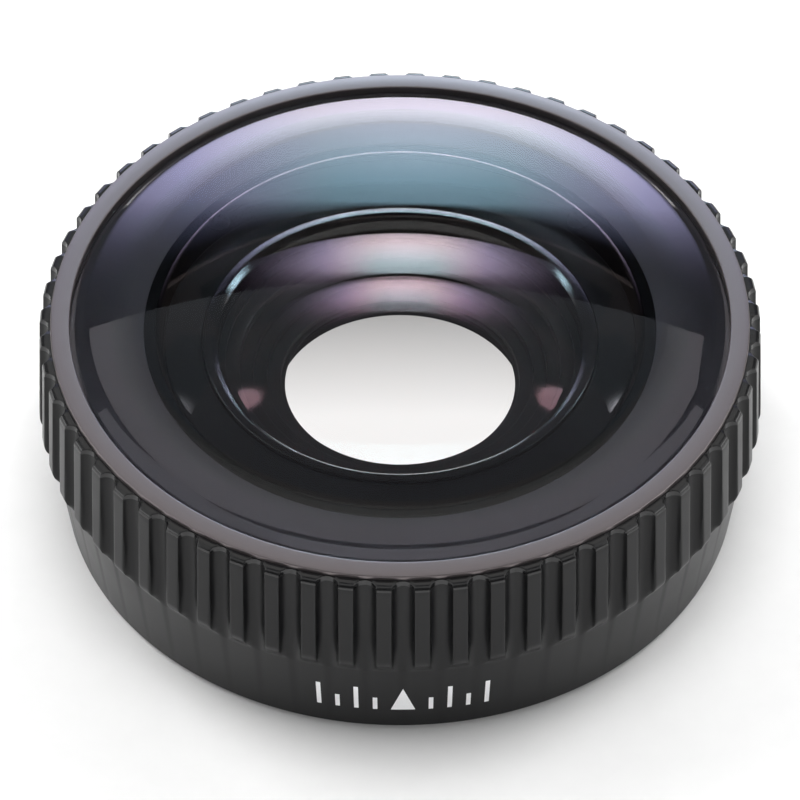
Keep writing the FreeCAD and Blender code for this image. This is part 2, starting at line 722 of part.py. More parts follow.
def bayonet_ring():
    """The mount's bayonet: a ring with lugs that reach inwards at its rear face."""
    body = new_body("bayonet_ring")
    inner = BAYONET_INNER
    lug = LUG_RADIUS
    revolve(body, "turned", [
        (lug, BAYONET_BOTTOM),
        (BAYONET_RADIUS, BAYONET_BOTTOM),
        (BAYONET_RADIUS, WEB_BOTTOM),
        (inner, WEB_BOTTOM),
        (inner, LUG_TOP),
        (lug, LUG_TOP),
    ])

    # The gaps between the lugs
    count = size("bayonet_lug_count")
    start = "(%s / 2)" % size("bayonet_lug_angle")
    end = "(360 / %s - %s / 2)" % (count, size("bayonet_lug_angle"))
    short = less(lug, size("bayonet_lug_thickness"))
    sketch = new_sketch(body, "gap_outline", "XY_Plane", BAYONET_BOTTOM)
    outline(sketch, [
        ("%s * cos(%s)" % (short, start), "%s * sin(%s)" % (short, start)),
        ("%s * cos(%s)" % (inner, start), "%s * sin(%s)" % (inner, start), inner, "left"),
        ("%s * cos(%s)" % (inner, end), "%s * sin(%s)" % (inner, end)),
        ("%s * cos(%s)" % (short, end), "%s * sin(%s)" % (short, end)),
    ])
    gap = pocket(body, sketch, "gap", size("bayonet_lug_thickness"), True)
    repeat_around(body, gap, count)

    # Countersunk screw holes
    middle = MOUNT_SCREW_CIRCLE
    shank = add(size("mount_screw_radius"), size("screw_clearance"))
    head = add(size("mount_screw_head_radius"), size("screw_clearance"))
    head_end = add(BAYONET_BOTTOM, size("mount_screw_head_height"))
    hole = revolved_cut(body, "screw_hole", [
        (middle, BAYONET_BOTTOM),
        (add(middle, head), BAYONET_BOTTOM),
        (add(middle, shank), head_end),
        (add(middle, shank), WEB_BOTTOM),
        (middle, WEB_BOTTOM),
    ], middle)
    repeat_around(body, hole, size("mount_screw_count"))
    return body


def mount_seal():
    """The soft ring round the socket, with a lip towards the camera."""
    body = new_body("mount_seal")
    inner = MOUNT_SEAL_INNER
    outer = MOUNT_SEAL_OUTER
    face = less(WEB_BOTTOM, size("mount_seal_thickness"))
    lip_width = "(%s / 3)" % less(outer, inner)
    revolve(body, "moulded", [
        (inner, less(face, size("mount_seal_lip"))),
        (add(inner, lip_width), face),
        (outer, face),
        (outer, WEB_BOTTOM),
        (inner, WEB_BOTTOM),
    ])
    return body


def stop_pin():
    """The pin that ends the bayonet's turn, set in the housing's web."""
    pin = doc.addObject("Part::Cylinder", "stop_pin")
    pin.Label = "stop_pin"
    pin.setExpression("Radius", size("stop_pin_radius"))
    pin.setExpression("Height", add(size("stop_pin_rise"), size("stop_pin_depth")))
    pin.setExpression("Placement.Base.x", STOP_PIN_X)
    pin.setExpression("Placement.Base.y", STOP_PIN_Y)
    pin.setExpression("Placement.Base.z", less(WEB_BOTTOM, size("stop_pin_rise")))
    return pin


def solid(kind, name, **expressions):
    item = doc.addObject("Part::" + kind, name)
    for key, expression in expressions.items():
        item.setExpression(key.replace("_z", ".Base.z"), expression)
    return item


def screw_set(label, count, circle, first, head, shank, socket):
    """Equal screws on one circle, each a head and shank fused, with a hexagon socket.

    The first screw stands at the angle named first.
    """
    screws = []
    for index in range(int(SIZES[count])):
        name = "%s_%d" % (label, index + 1)
        parts = [
            solid(kind, "%s_%s" % (name, part), **expressions)
            for part, (kind, expressions) in (("head", head), ("shank", shank))
        ]
        whole = doc.addObject("Part::Fuse", name + "_blank")
        whole.Base, whole.Tool = parts
        recess = solid("Prism", name + "_socket", **socket)
        recess.Polygon = 6
        screw = doc.addObject("Part::Cut", name)
        screw.Base, screw.Tool = whole, recess
        turn = "(%s + %d * 360 / %s)" % (first, index, size(count))
        screw.setExpression("Placement.Base.x", "%s * cos(%s)" % (circle, turn))
        screw.setExpression("Placement.Base.y", "%s * sin(%s)" % (circle, turn))
        screws.append(screw)
    group = doc.addObject("Part::Compound", label)
    group.Label = label
    group.Links = screws
    return group


def barrel_screws():
    """Pan-head screws that hold the barrel's flange to the housing."""
    head_top = add(FLANGE_TOP, size("barrel_screw_head_height"))
    length = size("barrel_screw_length")
    return screw_set(
        "barrel_screws", "barrel_screw_count", BARREL_SCREW_CIRCLE,
        size("barrel_screw_angle"),
        ("Cylinder", {
            "Radius": size("barrel_screw_head_radius"),
            "Height": size("barrel_screw_head_height"),
            "Placement_z": FLANGE_TOP,
        }),
        ("Cylinder", {
            "Radius": size("barrel_screw_radius"),
            "Height": length,
            "Placement_z": less(FLANGE_TOP, length),
        }),
        {
            "Circumradius": "%s * %s" % (
                size("barrel_screw_head_radius"), size("screw_socket_share")),
            "Height": size("screw_socket_depth"),
            "Placement_z": less(head_top, size("screw_socket_depth")),
        },
    )


def bayonet_screws():
    """Countersunk screws that hold the bayonet ring to the housing's web."""
    return screw_set(
        "bayonet_screws", "mount_screw_count", MOUNT_SCREW_CIRCLE, "0",
        ("Cone", {
            "Radius1": size("mount_screw_head_radius"),
            "Radius2": size("mount_screw_radius"),
            "Height": size("mount_screw_head_height"),
            "Placement_z": BAYONET_BOTTOM,
        }),
        ("Cylinder", {
            "Radius": size("mount_screw_radius"),
            "Height": size("mount_screw_length"),
            "Placement_z": BAYONET_BOTTOM,
        }),
        {
            "Circumradius": "%s * %s" % (
                size("mount_screw_head_radius"), size("screw_socket_share")),
            "Height": size("screw_socket_depth"),
            "Placement_z": BAYONET_BOTTOM,
        },
    )


PIECES = [
    grip_body(),
    bezel_ring(),
    front_lens(),
    ring("front_lens_mask", MASK_RADIUS, GLASS_RADIUS,
         MASK_BACK, GLASS_BACK),
    ring("front_lens_gasket", GASKET_RADIUS, GLASS_RADIUS,
         SHELF_TOP, MASK_BACK),
    inner_housing(),
    seal_ring("housing_seal", HOUSING_RADIUS, HOUSING_SEAL_HEIGHT),
    lens_barrel(),
    barrel_shim(),
    barrel_screws(),
    seal_ring("barrel_seal", BARREL_RADIUS, BARREL_SEAL_HEIGHT),
    middle_lens(),
    middle_lens_retainer(),
    stepped_baffle(),
    ring("aperture_mask", APERTURE_RADIUS, STACK_RADIUS, LEDGE_TOP, BAFFLE_BOTTOM),
    rear_lens(),
    rear_lens_retainer(),
    bayonet_ring(),
    bayonet_screws(),
    mount_seal(),
    stop_pin(),
]
doc.recompute()

# Nothing is written unless every object is sound
for item in doc.Objects:
    if "Invalid" in item.State or "Error" in item.State:
        raise RuntimeError("%s failed: %s" % (item.Label, item.State))
for piece in PIECES:
    if piece.Shape.isNull() or not piece.Shape.isValid() or piece.Shape.Volume <= 0:
        raise RuntimeError(piece.Label + " has no sound shape")

os.makedirs("parts", exist_ok=True)
for piece in PIECES:
    piece.Shape.exportStep("parts/%s.step" % piece.Label)
    print("%-22s %3d faces %10.2f mm3" % (
        piece.Label, len(piece.Shape.Faces), piece.Shape.Volume))
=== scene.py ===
import math

import bpy
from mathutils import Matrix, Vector


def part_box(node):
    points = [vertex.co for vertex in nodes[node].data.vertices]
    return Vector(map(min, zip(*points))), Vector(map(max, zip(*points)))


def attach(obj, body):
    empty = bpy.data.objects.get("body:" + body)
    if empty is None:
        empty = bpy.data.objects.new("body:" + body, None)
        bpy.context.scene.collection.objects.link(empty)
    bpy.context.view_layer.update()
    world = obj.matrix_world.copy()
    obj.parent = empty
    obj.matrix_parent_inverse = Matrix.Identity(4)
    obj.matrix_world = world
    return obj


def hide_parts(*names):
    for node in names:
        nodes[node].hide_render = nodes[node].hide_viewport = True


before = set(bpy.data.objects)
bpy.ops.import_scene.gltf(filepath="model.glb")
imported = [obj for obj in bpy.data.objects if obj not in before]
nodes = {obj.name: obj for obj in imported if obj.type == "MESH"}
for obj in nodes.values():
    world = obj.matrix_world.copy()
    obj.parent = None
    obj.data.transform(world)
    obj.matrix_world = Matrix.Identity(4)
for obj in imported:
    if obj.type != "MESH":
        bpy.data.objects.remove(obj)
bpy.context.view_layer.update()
scene = bpy.context.scene

MM = 0.001


# Node helpers

def new_material(name, **sockets):
    """A material with one Principled shader; keyword names are socket names with _ for space."""
    material = bpy.data.materials.new(name)
    material.use_nodes = True
    tree = material.node_tree
    shader = tree.nodes["Principled BSDF"]
    for key, value in sockets.items():
        shader.inputs[key.replace("_", " ")].default_value = value
    return material, tree, shader


def object_coordinates(tree):
    return tree.nodes.new("ShaderNodeTexCoord").outputs["Object"]


def noise(tree, vector, feature_mm, detail=3.0, roughness=0.55):
    """Noise whose features are about this many millimetres across."""
    node = tree.nodes.new("ShaderNodeTexNoise")
    node.inputs["Scale"].default_value = 1.0 / (feature_mm * MM)
    node.inputs["Detail"].default_value = detail
    node.inputs["Roughness"].default_value = roughness
    tree.links.new(vector, node.inputs["Vector"])
    return node.outputs["Fac"]


def remap(tree, value, low, high, from_low=0.3, from_high=0.7):
    node = tree.nodes.new("ShaderNodeMapRange")
    node.inputs["From Min"].default_value = from_low
    node.inputs["From Max"].default_value = from_high
    node.inputs["To Min"].default_value = low
    node.inputs["To Max"].default_value = high
    tree.links.new(value, node.inputs["Value"])
    return node.outputs["Result"]


def math_node(tree, operation, first, second=None):
    node = tree.nodes.new("ShaderNodeMath")
    node.operation = operation
    for socket, value in zip(node.inputs, (first, second)):
        if isinstance(value, (int, float)):
            socket.default_value = value
        elif value is not None:
            tree.links.new(value, socket)
    return node.outputs[0]


def bump(tree, shader, height, depth_mm, strength=1.0):
    node = tree.nodes.new("ShaderNodeBump")
    node.inputs["Strength"].default_value = strength
    node.inputs["Distance"].default_value = depth_mm * MM
    tree.links.new(height, node.inputs["Height"])
    tree.links.new(node.outputs["Normal"], shader.inputs["Normal"])


def colour_between(tree, factor, low, high):
    """A mix of two colours, each a plain tuple or another node's output."""
    node = tree.nodes.new("ShaderNodeMix")
    node.data_type = "RGBA"
    for socket, colour in zip((node.inputs["A"], node.inputs["B"]), (low, high)):
        if isinstance(colour, tuple):
            socket.default_value = (*colour, 1.0)
        else:
            tree.links.new(colour, socket)
    tree.links.new(factor, node.inputs["Factor"])
    return node.outputs["Result"]


def turned_rings(tree, coordinates, ring_mm):
    """A value that changes only with the distance from the optical axis, as turning leaves it."""
    parts = tree.nodes.new("ShaderNodeSeparateXYZ")
    tree.links.new(coordinates, parts.inputs["Vector"])
    across = math_node(tree, "MULTIPLY", parts.outputs["X"], parts.outputs["X"])
    along = math_node(tree, "MULTIPLY", parts.outputs["Y"], parts.outputs["Y"])
    radius = math_node(tree, "SQRT", math_node(tree, "ADD", across, along))
    place = tree.nodes.new("ShaderNodeCombineXYZ")
    tree.links.new(radius, place.inputs["X"])
    tree.links.new(parts.outputs["Z"], place.inputs["Z"])
    return noise(tree, place.outputs["Vector"], ring_mm, detail=2.0)


# Materials

def satin_material(name, dark, light, roughness, grain_mm=0.12, depth_mm=0.004, **sockets):
    """Blasted and anodised or moulded black: fine grain, with a faint mottling of tone."""
    material, tree, shader = new_material(name, **sockets)
    where = object_coordinates(tree)
    mottle = noise(tree, where, 6.0, detail=4.0)
    grain = noise(tree, where, grain_mm, detail=2.0)
    tree.links.new(colour_between(tree, mottle, dark, light), shader.inputs["Base Color"])
    spread = roughness * 0.12
    tone = remap(tree, mottle, roughness - spread, roughness + spread)
    tree.links.new(tone, shader.inputs["Roughness"])
    bump(tree, shader, grain, depth_mm, 0.6)
    return material


def turned_material(name, dark, light, roughness, ring_mm=0.05, depth_mm=0.002, **sockets):
    """Metal turned on a lathe: concentric lines under a satin finish."""
    material, tree, shader = new_material(name, **sockets)
    where = object_coordinates(tree)
    rings = turned_rings(tree, where, ring_mm)
    grain = noise(tree, where, 0.1, detail=2.0)
    tree.links.new(colour_between(tree, rings, dark, light), shader.inputs["Base Color"])
    tone = remap(tree, grain, roughness * 0.9, roughness * 1.1)
    tree.links.new(tone, shader.inputs["Roughness"])
    bump(tree, shader, rings, depth_mm, 0.5)
    return material


def glass_material(name, tint, facing_tint, roughness=0.0, ior=1.6):
    """Polished optical glass; its coating dims and tints what it reflects when faced."""
    material, tree, shader = new_material(
        name, Transmission_Weight=1.0, IOR=ior, Roughness=roughness,
        Specular_Tint=(*facing_tint, 1.0))
    haze = noise(tree, object_coordinates(tree), 5.0)
    tree.links.new(colour_between(tree, haze, tint, (1.0, 1.0, 1.0)), shader.inputs["Base Color"])
    return material


CLEAR = (1.0, 0.99, 0.985)
INNER_CLEAR = (1.0, 0.995, 0.98)
EDGE_STEPS = (0.2, 0.3, 0.42, 0.55, 0.7, 0.85, 0.95)
INK_BLACK = (0.004, 0.004, 0.0045)

BODY = satin_material(
    "satin_black_body", INK_BLACK, (0.007, 0.007, 0.0075), 0.34,
    Specular_IOR_Level=0.25)
SHOULDER = satin_material(
    "bright_cut_shoulder", (0.006, 0.006, 0.0065), (0.009, 0.009, 0.0095), 0.17, 0.12, 0.001,
    Specular_IOR_Level=0.5)
BEZEL = turned_material(
    "grey_bezel", (0.148, 0.13, 0.132), (0.184, 0.162, 0.165), 0.36, Metallic=0.85)
DOME_COATED = glass_material("coated_glass", CLEAR, (0.12, 0.15, 0.2))
HOLLOW_COATED = glass_material("coated_hollow", CLEAR, (0.85, 0.56, 0.51))
EDGE_COATED = [
    glass_material("coating_edge_%d" % step, CLEAR, (tint, tint, tint))
    for step, tint in enumerate(EDGE_STEPS)
]
INNER_COATED = glass_material(
    "coated_inner_glass", INNER_CLEAR, (0.9, 0.25, 0.25), ior=1.34)
REAR_COATED = glass_material("coated_rear_glass", INNER_CLEAR, (0.1, 0.1, 0.1), ior=1.3)
PLAIN_GLASS = glass_material("uncoated_glass", CLEAR, (1.0, 0.93, 1.0))
EDGE_INK = satin_material(
    "blackened_glass_edge", INK_BLACK, (0.006, 0.006, 0.0065), 0.5, 0.3, 0.001,
    Specular_IOR_Level=0.08)
# Black mask ink, given a grey that stands in for the reflection and light its ring shows under the
# glass: a painted reflection.
GREY_MASK_INK_PAINTED_REFLECTION = satin_material(
    "mask_ink_painted_reflection", (0.1, 0.09, 0.1), (0.112, 0.101, 0.112), 0.8, 0.12, 0.001,
    Specular_IOR_Level=0.1)
BARREL = satin_material(
    "black_barrel", (0.009, 0.0095, 0.009), (0.013, 0.0135, 0.013), 0.55, 0.2, 0.002,
    Specular_IOR_Level=0.12)
BAFFLE = satin_material(
    "black_baffle", (0.036, 0.041, 0.038), (0.05, 0.056, 0.052), 0.5,
    Specular_IOR_Level=0.2)
LENS_RIM = satin_material(
    "retainer_edge", (0.01, 0.01, 0.0105), (0.016, 0.016, 0.017), 0.16, 0.3, 0.001)
RUBBER = satin_material("seal_rubber", (0.012, 0.012, 0.012), (0.02, 0.02, 0.02), 0.65, 0.2)
PLASTIC = satin_material("housing_plastic", (0.01, 0.01, 0.011), (0.018, 0.018, 0.019), 0.5)
STEEL = turned_material(
    "turned_steel", (0.5, 0.5, 0.51), (0.62, 0.62, 0.63), 0.28, 0.08, Metallic=1.0)
PRINT = satin_material("index_print", (0.75, 0.75, 0.76), (0.85, 0.85, 0.86), 0.6, 0.05, 0.001)


# Turned shapes: outlines are (radius, height) in millimetres, a third value rounds the corner

def rounded(points, steps=6, closed=True):
    """The outline with each marked corner replaced by an arc."""
    result = []
    count = len(points)
    for index, point in enumerate(points):
        corner = Vector(point[:2])
        end = not closed and index in (0, count - 1)
        if len(point) < 3 or end:
            result.append(tuple(corner))
            continue
        before = Vector(points[index - 1][:2]) - corner
        after = Vector(points[(index + 1) % count][:2]) - corner
        half = before.angle(after) / 2
        reach = point[2] / math.tan(half)
        start = corner + before.normalized() * reach
        finish = corner + after.normalized() * reach
        centre = corner + (before.normalized() + after.normalized()).normalized() * (
            point[2] / math.sin(half))
        first = start - centre
        last = finish - centre
        turn = first.angle_signed(last)
        for step in range(steps + 1):
            angle = -turn * step / steps
            cos, sin = math.cos(angle), math.sin(angle)
            result.append((
                centre.x + first.x * cos - first.y * sin,
                centre.y + first.x * sin + first.y * cos,
            ))
    return result


def sag(curve, reach):
    """How far a sphere of this radius falls from its apex at this distance from the axis."""
    return curve - math.sqrt(curve ** 2 - reach ** 2)


def cap(apex, curve, radius, steps, outward=True):
    """Points of a spherical cap with its centre below, from the axis out, or back to it."""
    points = []
    for step in range(steps + 1):
        reach = radius * step / steps
        points.append((reach, apex - curve + math.sqrt(curve ** 2 - reach ** 2)))
    return points if outward else points[::-1]


def link_mesh(name, vertices, faces, material, sharp_degrees=32.0):
    mesh = bpy.data.meshes.new(name)
    mesh.from_pydata(vertices, [], faces)
    mesh.validate()
    mesh.shade_smooth()
    mesh.set_sharp_from_angle(angle=math.radians(sharp_degrees))
    mesh.materials.append(material)
    piece = bpy.data.objects.new(name, mesh)
    scene.collection.objects.link(piece)
    return piece


def lathe(name, outline, material, columns=240):
    """A solid of revolution from a closed outline; points on the axis become one vertex."""
    pairs = zip(outline, outline[1:] + outline[:1])
    if sum(a[0] * b[1] - b[0] * a[1] for a, b in pairs) < 0:
        outline = outline[::-1]
    vertices = []
    rows = []
    angles = [2 * math.pi * column / columns for column in range(columns)]
    for radius, height in outline:
        if radius < 1e-6:
            rows.append([len(vertices)] * columns)
            vertices.append((0.0, 0.0, height * MM))
            continue
        rows.append(list(range(len(vertices), len(vertices) + columns)))
        vertices.extend(
            (radius * math.cos(a) * MM, radius * math.sin(a) * MM, height * MM) for a in angles)
    faces = []
    for index, low in enumerate(rows):
        high = rows[(index + 1) % len(rows)]
        for column in range(columns):
            after = (column + 1) % columns
            corners = (low[column], low[after], high[after], high[column])
            corners = tuple(dict.fromkeys(corners))
            if len(corners) > 2:
                faces.append(corners)
    return link_mesh(name, vertices, faces, material)


def place(piece, slot, *replaced):
    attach(piece, "root")
    if replaced:
        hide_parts(*replaced)
    return piece


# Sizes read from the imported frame, in millimetres

def top_of(node):
    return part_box(node)[1].z / MM


def bottom_of(node):
    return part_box(node)[0].z / MM


# Fluted grip with softened lips

CREST = 22.0
GLASS_BORE = 20.3
BASE_FOOT = 20.45
BASE_FOOT_HEIGHT = 0.3
BASE_HEAD = 21.35
BASE_HEAD_HEIGHT = 6.2
FLUTES = 60
FLUTE_RADIUS = 0.68
FLUTE_DEPTH = 0.72
LIP_BLEND = 0.3
LIP_DEGREES = 1.78
LIP_RISE = 0.04
LIP_SLOPE = 0.8
BLEND_FOOT = 20.9
BLEND_START = 21.3
BLEND_RUN = 0.4
SHOULDER_FOOT = 13.5
BLEND_ROWS = (4.6, 6.6, 0.1)
WALL_ROWS = (6.6, 13.8, 0.5)
HALF_PITCH = [0.0, 0.45, 0.9, 1.25, 1.48, 1.6, 1.68, 1.76, 1.83, 1.92, 2.08, 2.4]


def flute_wall(degrees):
    """Radius of the flute's wall at this angle from its middle, or None beside it."""
    centre = CREST - FLUTE_DEPTH + FLUTE_RADIUS
    angle = math.radians(degrees)
    inside = FLUTE_RADIUS ** 2 - (centre * math.sin(angle)) ** 2
    if inside < 0:
        return None
    return centre * math.cos(angle) - math.sqrt(inside)


def soft_minimum(first, second, blend):
    overlap = max(blend - abs(first - second), 0.0) / blend
    return min(first, second) - overlap ** 2 * blend / 4


def resample(outline, low, high, spacing):
    """The outline with its outer long runs between two heights cut into short ones."""
    result = []
    for index, point in enumerate(outline):
        result.append(point)
        after = outline[(index + 1) % len(outline)]
        run = math.dist(point, after)
        middle = (point[1] + after[1]) / 2
        if point[0] > GLASS_BORE and low < middle < high and run > spacing:
            parts = math.ceil(run / spacing)
            for part in range(1, parts):
                share = part / parts
                result.append((
                    point[0] + (after[0] - point[0]) * share,
                    point[1] + (after[1] - point[1]) * share,
                ))
    return result


def grip_piece():
    outer = rounded([
        (18.9, 0.0, 0.1),
        (20.15, 0.0, 0.12),
        (BASE_FOOT, BASE_FOOT_HEIGHT, 0.2),
        (BASE_HEAD, BASE_HEAD_HEIGHT, 1.2),
        (CREST, 7.15, 1.2),
        (21.87, 13.9, 0.38),
        (20.75, 13.9, 0.05),
        (20.75, 12.6),
        (GLASS_BORE, 12.6),
        (GLASS_BORE, 11.3),
        (17.2, 11.3),
        (17.2, 10.3),
        (18.9, 10.3),
    ])
    outer = resample(outer, *BLEND_ROWS)
    outer = resample(outer, *WALL_ROWS)
    pitch = 360.0 / FLUTES
    offsets = [-a for a in HALF_PITCH[:0:-1]] + HALF_PITCH + [pitch / 2]
    vertices = []
    for flute in range(FLUTES):
        for offset in offsets:
            wall = flute_wall(offset)
            if wall is None:
                wall = CREST + LIP_RISE + (abs(offset) - LIP_DEGREES) * LIP_SLOPE
            angle = math.radians(flute * pitch + offset)
            cos, sin = math.cos(angle), math.sin(angle)
            for radius, height in outer:
                if radius > BLEND_FOOT:
                    fade = min(max((radius - BLEND_START) / BLEND_RUN, 0.05), 1.0)
                    radius = soft_minimum(radius, wall, LIP_BLEND * fade)
                vertices.append((radius * cos * MM, radius * sin * MM, height * MM))
    rows = len(outer)
    columns = FLUTES * len(offsets)
    faces = []
    for column in range(columns):
        after = (column + 1) % columns
        for row in range(rows):
            above = (row + 1) % rows
            faces.append((
                column * rows + row,
                after * rows + row,
                after * rows + above,
                column * rows + above,
            ))
    piece = link_mesh("fluted_grip", vertices, faces, BODY, 50.0)
    piece.data.materials.append(SHOULDER)
    for face in piece.data.polygons:
        if face.center.z > SHOULDER_FOOT * MM and face.center.xy.length > BLEND_FOOT * MM:
            face.material_index = 1
    return piece


place(grip_piece(), "anodised_body", "grip_body")

bezel = rounded([
    (20.02, 13.7),
    (20.3, 13.7),
    (20.3, 12.7),
    (20.7, 12.7),
    (20.7, 13.9),
    (21.2, 13.9),
    (21.2, 14.21, 0.09),
    (20.02, 14.3, 0.09),
])
place(lathe("bezel", bezel, BEZEL, 360), "anodised_bezel", "bezel_ring")


# Optics

SEAT = 0.01
CELL_RADIUS = 11.95
DOME_APEX = 16.8
DOME_CURVE = 80.0
DOME_EDGE = 19.15
GLASS_RIM = 20.2
GLASS_LEDGE = 13.7
MASK_EDGE = 15.2
COATING_FADE = 15.9
COATING_EDGE = 17.7
HOLLOW_EDGE = 14.5
HOLLOW_CURVE = 40.5
MENISCUS_BACK_CURVE = 26.0
MENISCUS_BACK_EDGE = 10.3
MENISCUS_BACK_RISE = 2.127
MENISCUS_FACE_CURVE = 24.0
MENISCUS_FACE_EDGE = 11.1
MENISCUS_FACE_RISE = 2.721
REAR_CURVE = 55.0
REAR_EDGE = 7.6


def front_glass():
    back = 11.8
    outline = cap(back + sag(HOLLOW_CURVE, HOLLOW_EDGE), HOLLOW_CURVE, HOLLOW_EDGE, 48)
    outline += [(HOLLOW_EDGE + 0.08, back), (MASK_EDGE, back), (GLASS_RIM, back)]
    outline += [(GLASS_RIM, GLASS_LEDGE - SEAT), (19.73, GLASS_LEDGE - SEAT)]
    outline += [(19.73, 14.11), (19.19, 14.45)]
    outline += cap(DOME_APEX, DOME_CURVE, DOME_EDGE, 60, outward=False)
    piece = lathe("front_glass", outline, DOME_COATED, 360)
    for material in (PLAIN_GLASS, EDGE_INK, HOLLOW_COATED, *EDGE_COATED):
        piece.data.materials.append(material)
    dome, plain, ink, hollow, first_edge = range(5)
    for face in piece.data.polygons:
        radius = face.center.xy.length / MM
        on_top = face.normal.z > 0
        if radius > (COATING_EDGE if on_top else MASK_EDGE):
            face.material_index = plain
        elif on_top and radius > COATING_FADE:
            share = (radius - COATING_FADE) / (COATING_EDGE - COATING_FADE)
            face.material_index = first_edge + int(share * len(EDGE_COATED))
        elif on_top:
            face.material_index = dome
        elif radius > HOLLOW_EDGE - SEAT:
            face.material_index = ink
        else:
            face.material_index = hollow
    return piece


def middle_glass():
    low = top_of("stepped_baffle") + SEAT
    high = bottom_of("middle_lens_retainer") - SEAT
    outline = cap(low + MENISCUS_BACK_RISE, MENISCUS_BACK_CURVE, MENISCUS_BACK_EDGE, 30)
    outline += [(CELL_RADIUS, low), (CELL_RADIUS, high)]
    outline += cap(
        high + MENISCUS_FACE_RISE, MENISCUS_FACE_CURVE, MENISCUS_FACE_EDGE, 36, outward=False)
    return lathe("middle_glass", outline, INNER_COATED, 300)


def rear_glass():
    high = bottom_of("aperture_mask") - 0.3 - SEAT
    low = bottom_of("rear_lens_retainer") + 0.65 + SEAT
    outline = [(0.0, high), (8.4, high), (8.4, low), (REAR_EDGE, low)]
    for step in range(16):
        reach = REAR_EDGE * (15 - step) / 16
        fall = sag(REAR_CURVE, REAR_EDGE) - sag(REAR_CURVE, reach)
        outline.append((reach, low - fall))
    return lathe("rear_glass", outline, REAR_COATED, 180)


place(front_glass(), "optical_glass", "front_lens")
place(middle_glass(), "optical_glass", "middle_lens")
place(rear_glass(), "optical_glass", "rear_lens")


# Inner pieces seen through the glass, with softened edges

mask = rounded([
    (MASK_EDGE, 11.6), (20.15, 11.6), (20.15, 11.83), (MASK_EDGE, 11.83, 0.04)])
place(lathe("mask", mask, GREY_MASK_INK_PAINTED_REFLECTION, 300), "mask_film", "front_lens_mask")

barrel = rounded([
    (8.5, 4.9),
    (12.2, 4.9),
    (12.2, 5.35),
    (13.0, 5.35),
    (13.0, 9.65),
    (16.8, 9.65),
    (16.8, 10.45, 0.05),
    (14.2, 10.45),
    (14.2, 11.15, 0.1),
    (12.05, 11.15, 0.06),
    (12.05, 6.8),
    (7.6, 6.8),
    (7.6, 6.5),
    (8.5, 6.5),
])
place(lathe("barrel", barrel, BARREL, 300), "anodised_barrel", "lens_barrel")

retainer = rounded([
    (11.15, 10.25),
    (CELL_RADIUS, 10.25),
    (CELL_RADIUS, 11.4, 0.08),
    (11.45, 11.4, 0.08),
    (11.15, 11.1, 0.08),
])
place(lathe("retainer", retainer, LENS_RIM, 300), "anodised_barrel", "middle_lens_retainer")


BAFFLE_MOUTH = 10.6
BAFFLE_THROAT = 7.4
BAFFLE_TOP = 9.05
BAFFLE_FOOT = 6.9
BAFFLE_DEPTH = 2.15


def baffle_outline():
    steps = 5
    points = [
        (BAFFLE_THROAT, BAFFLE_FOOT), (CELL_RADIUS, BAFFLE_FOOT), (CELL_RADIUS, BAFFLE_TOP)]
    for step in range(steps):
        radius = BAFFLE_MOUTH - step * (BAFFLE_MOUTH - BAFFLE_THROAT) / (steps - 1)
        high = BAFFLE_TOP - step * BAFFLE_DEPTH / steps
        points.append((radius, high, 0.05))
        if step < steps - 1:
            points.append((radius, high - BAFFLE_DEPTH / steps))
    return rounded(points, 3)


place(lathe("baffle", baffle_outline(), BAFFLE, 300), "housing_plastic", "stepped_baffle")

iris = [
    (7.15, 6.84),
    (7.25, 6.8),
    (CELL_RADIUS, 6.8),
    (CELL_RADIUS, BAFFLE_FOOT),
    (7.25, BAFFLE_FOOT),
    (7.15, 6.86),
]
place(lathe("iris", iris, BAFFLE, 300), "mask_film", "aperture_mask")


# Plain index scale printed on the base, in place of any lettering

PRINT_HEIGHT = 0.012
PRINT_RADIUS = 21.0
SCALE_FOOT = 2.0
LONG_TOP = 4.2
SHORT_TOP = 3.2
STROKE_HALF = 0.14


def print_patch(vertices, faces, left, right, low, high, tip=None):
    """A printed field on the base's taper, between two widths and two heights in mm."""
    first = len(vertices)
    columns = 7
    for row in range(2):
        for column in range(columns):
            across = left + (right - left) * column / (columns - 1)
            height = high if row else low
            if row and tip is not None:
                across = tip
            share = (height - BASE_FOOT_HEIGHT) / (BASE_HEAD_HEIGHT - BASE_FOOT_HEIGHT)
            radius = BASE_FOOT + (BASE_HEAD - BASE_FOOT) * share + PRINT_HEIGHT
            angle = across / PRINT_RADIUS - math.pi / 2
            vertices.append(
                (radius * math.cos(angle) * MM, radius * math.sin(angle) * MM, height * MM))
    for column in range(columns - 1):
        faces.append((
            first + column,
            first + column + 1,
            first + columns + column + 1,
            first + columns + column,
        ))


def index_scale():
    vertices, faces = [], []
    print_patch(vertices, faces, -0.75, 0.75, SCALE_FOOT, LONG_TOP, tip=0.0)
    for number in range(1, 5):
        for side in (-1, 1):
            middle = side * (0.55 + 1.15 * number)
            left, right = middle - STROKE_HALF, middle + STROKE_HALF
            high = LONG_TOP if number % 2 == 0 else SHORT_TOP
            print_patch(vertices, faces, left, right, SCALE_FOOT, high)
    return link_mesh("index_scale", vertices, faces, PRINT)


place(index_scale(), "anodised_bezel")


# Finishes of the CAD nodes that stay

FINISHES = {
    "front_lens_gasket": RUBBER,
    "inner_housing": PLASTIC,
    "housing_seal": RUBBER,
    "barrel_shim": STEEL,
    "barrel_screws": BARREL,
    "barrel_seal": RUBBER,
    "rear_lens_retainer": BARREL,
    "bayonet_ring": STEEL,
    "bayonet_screws": STEEL,
    "mount_seal": RUBBER,
    "stop_pin": STEEL,
}
for name, material in FINISHES.items():
    for slot in nodes[name].material_slots:
        slot.material = material


# Floor: white paper that keeps the shadow; through glass it shows as white near the lens, fading
# to grey towards the back as a painted shade

PAPER = 0.8
PAPER_LOOKED_AT = 0.685
FLOOR_SIZE = 4.0


